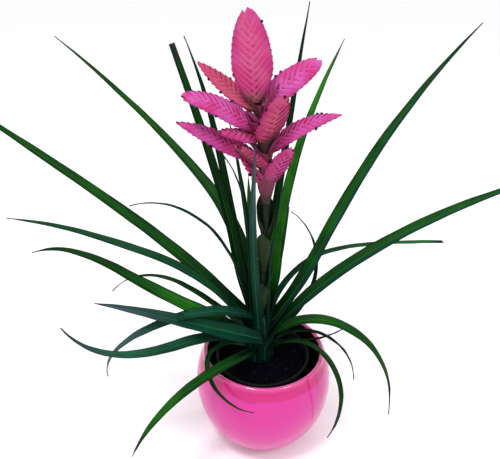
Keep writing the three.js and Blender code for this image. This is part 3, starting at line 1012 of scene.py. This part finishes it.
def paddle_mesh(path, length, width, full, warmth, seed):
    """Two ranks of bracts, foot to tip; each runs from just over the midline to a tooth."""
    count = max(int(length / BRACT_STEP) // 2 * 2, 8)
    reach = min(0.36 * length, 0.75 * width + 0.003)
    bm = bmesh.new()
    fibres = bm.loops.layers.uv.new("fibres")
    share_of = bm.verts.layers.float.new("share")
    across_of = bm.verts.layers.float.new("across")
    tone_of = bm.verts.layers.float.new("tone")
    place_of = bm.verts.layers.float.new("place")
    for k in range(count):
        hand = 1 if k % 2 else -1
        rank = k / (count - 1)
        tip_y = length * min(0.13 + 0.88 * rank, 1)
        foot_y = tip_y - reach * (1 - 0.35 * rank)
        tip_x = paddle_half_width(tip_y / length, width, full) * 1.02
        foot_x = -0.14 * width * min(1, 2.6 * (1 - rank) + 0.55)
        made = bmesh.ops.create_grid(bm, x_segments=12, y_segments=10, size=1)["verts"]
        if k == count - 1:  # the last bract caps the tip
            foot_x = -0.8 * paddle_half_width(foot_y / length, width, full)
        flat = {}
        # v folds the bract along its keel, from margin to margin; u runs along it.
        for vert in made:
            v = vert.co.x
            u = (vert.co.y + 1) / 2
            near = abs(v)
            margin_x = foot_x + (tip_x - foot_x) * u
            margin_y = foot_y + (tip_y - foot_y) * (0.12 + 0.88 * u ** 1.1)
            keel_y = foot_y + (tip_y - foot_y) * u
            keel_x = paddle_half_width(keel_y / length, width, full) * min(1, 0.3 + 1.5 * u)
            keel_x = max(keel_x, margin_x)
            keel_x += (0.0004 + 0.012 * width) * max(u - 0.75, 0) * 4 * (1 - 0.7 * rank)
            x = keel_x + (margin_x - keel_x) * near
            y = keel_y + (margin_y - keel_y) * near
            swell = math.sqrt(max(1 - (1 - near) ** 2, 0))
            middle = math.cos(min(abs(x) / (width / 2), 1) * math.pi / 2) ** 0.5
            thick = PADDLE_HALF_THICKNESS * (0.30 + 0.70 * middle) * (0.90 + 0.10 * u) * swell
            thick *= 0.55 + 0.45 * math.sin(math.pi * min(0.15 + max(y, 0) / length * 0.85, 1))
            vert[share_of] = u
            vert[across_of] = near
            vert[tone_of] = warmth
            vert[place_of] = max(y, 0) / length
            flat[vert] = (v * 0.01, u * reach)
            ripple = 0.00015 * noise.noise(Vector((u * 4, v * 3, k + seed * 7.3)))
            lift = math.copysign(thick, v) * (near > 0.05) + ripple
            vert.co = on_paddle(path, length, hand * x, max(y, 0), lift)
        faces = list({face for vert in made for face in vert.link_faces})
        if hand > 0:
            bmesh.ops.reverse_faces(bm, faces=faces)
        for face in faces:
            for loop in face.loops:
                loop[fibres].uv = flat[loop.vert]
    # A thin core lies between the two faces and closes the gaps under the bracts.
    for face in (1, -1):
        made = bmesh.ops.create_grid(bm, x_segments=8, y_segments=24, size=1)["verts"]
        for vert in made:
            across, share = vert.co.x, (vert.co.y + 1) / 2
            half = 0.82 * paddle_half_width(share, width, full)
            thick = CORE_SHARE * PADDLE_HALF_THICKNESS * (1 - across * across)
            thick *= math.sin(math.pi * (0.1 + 0.85 * share))
            vert[share_of] = 0.5
            vert[across_of] = 0.5
            vert[tone_of] = warmth
            vert[place_of] = share
            vert.co = on_paddle(path, length, half * across, share * length * 0.97, face * thick)
        if face < 0:
            sides = {side for vert in made for side in vert.link_faces}
            bmesh.ops.reverse_faces(bm, faces=list(sides))
    return bm


paddle_bract = Finish("pink_paddle_bract", 0.5, Specular_IOR_Level=0.1)
flat = paddle_bract.uv("fibres")
u = paddle_bract.attribute("share")
near = paddle_bract.attribute("across")
warm = paddle_bract.attribute("tone")
place = paddle_bract.attribute("place")
veins = paddle_bract.noise(paddle_bract.stretched(flat, (1900, 120, 1)), 1.0, 3.0, 0.6)
blotch = paddle_bract.noise(paddle_bract.where(), 70.0, 3.0)
patch = blotch.over(0.35, 0.65)
rose = paddle_bract.mix(patch * (1 - warm), (0.45, 0.028, 0.185), (0.51, 0.095, 0.390))
coral = paddle_bract.mix(patch, (0.40, 0.030, 0.095), (0.45, 0.075, 0.125))
glow = (warm * 0.75 + near * 0.35 * warm + blotch * 0.2).over(0.35, 1.0)
shade = paddle_bract.mix(glow, rose, coral)
shade = paddle_bract.mix(near.over(0.80, 0.98) * 0.5, shade, (0.56, 0.11, 0.20))
shade = paddle_bract.mix(near.over(0.85, 0.20) * 0.25, shade, (0.40, 0.020, 0.16))
shade = paddle_bract.mix(veins.over(0.50, 0.80) * 0.25, shade, (0.42, 0.02, 0.15))
shade = paddle_bract.mix(place.over(0.20, 0.0) * 0.7, shade, (0.16, 0.085, 0.045))
tooth = near.over(0.10, 0.0) * u.over(0.55, 0.9)
shade = paddle_bract.mix(tooth * 0.85, shade, (0.05, 0.006, 0.04))
paddle_bract.set("Base Color", shade)
paddle_bract.set("Roughness", 0.36 + 0.2 * veins)
paddle_bract.bump(veins, 0.00025, 0.6)

withered = Finish("withered_floret", 0.85, Specular_IOR_Level=0.05)
shrivel = withered.noise(withered.where(), 900.0, 4.0)
withered.set("Base Color", withered.mix(shrivel, (0.004, 0.002, 0.007), (0.022, 0.010, 0.018)))
withered.bump(shrivel, 0.0006, 0.8)

for seed, (name, values) in enumerate(PADDLES.items()):
    length, width, full = values["length"] * 0.001, values["width"] * 0.001, values["full"]
    heading, roll = values["heading"], values["roll"]
    foot = stem_point(values["level"], heading, 0.2)
    path = walked(foot, length, [heading, heading], values["rise"], [roll, roll])
    bm = paddle_mesh(path, length, width, full, values["warmth"], seed)
    chance = random.Random(70 + seed)
    for _ in range(round(4 * full)):
        share = chance.uniform(0.25, 0.9)
        edge = paddle_half_width(share, width, full) * chance.choice((-1, 1))
        place = on_paddle(path, length, edge * 0.97, share * length, 0)
        crumb(bm, place, (0.0022, 0.0046, 0.0034), 1)
    paddle = finished(name + "_spike", bm, paddle_bract, withered)
    shell(paddle, BRACT_THICKNESS)
    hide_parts(name)
    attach(paddle, "root")

# ---- subtending bracts -------------------------------------------------------------
# Under every paddle but the top one, one broad bract clasps the stalk and cups the paddle's
# foot; they overlap up the flower head and hide most of the stalk there.
clasping = bract_finish(
    "clasping_bract",
    [(0.050, 0.026, 0.024), (0.13, 0.045, 0.050)], [(0.26, 0.022, 0.10), (0.40, 0.070, 0.18)],
)
for seed, (name, values) in enumerate(PADDLES.items()):
    if name == "paddle_top":
        continue
    heading = values["heading"]
    leaning = [86, 72, (values["rise"][0] + 60) / 2]
    width = max(min(values["width"], 24), 19)
    pink = 0.6 + 0.25 * math.sin(seed * 2.3)
    bm = scale_mesh(
        values["level"] - 14, [heading, heading], leaning, 35, width, 0.9, 1.8, pink, seed + 20,
    )
    cup = finished(name + "_clasp", bm, clasping)
    shell(cup, 0.0005)
    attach(cup, "root")
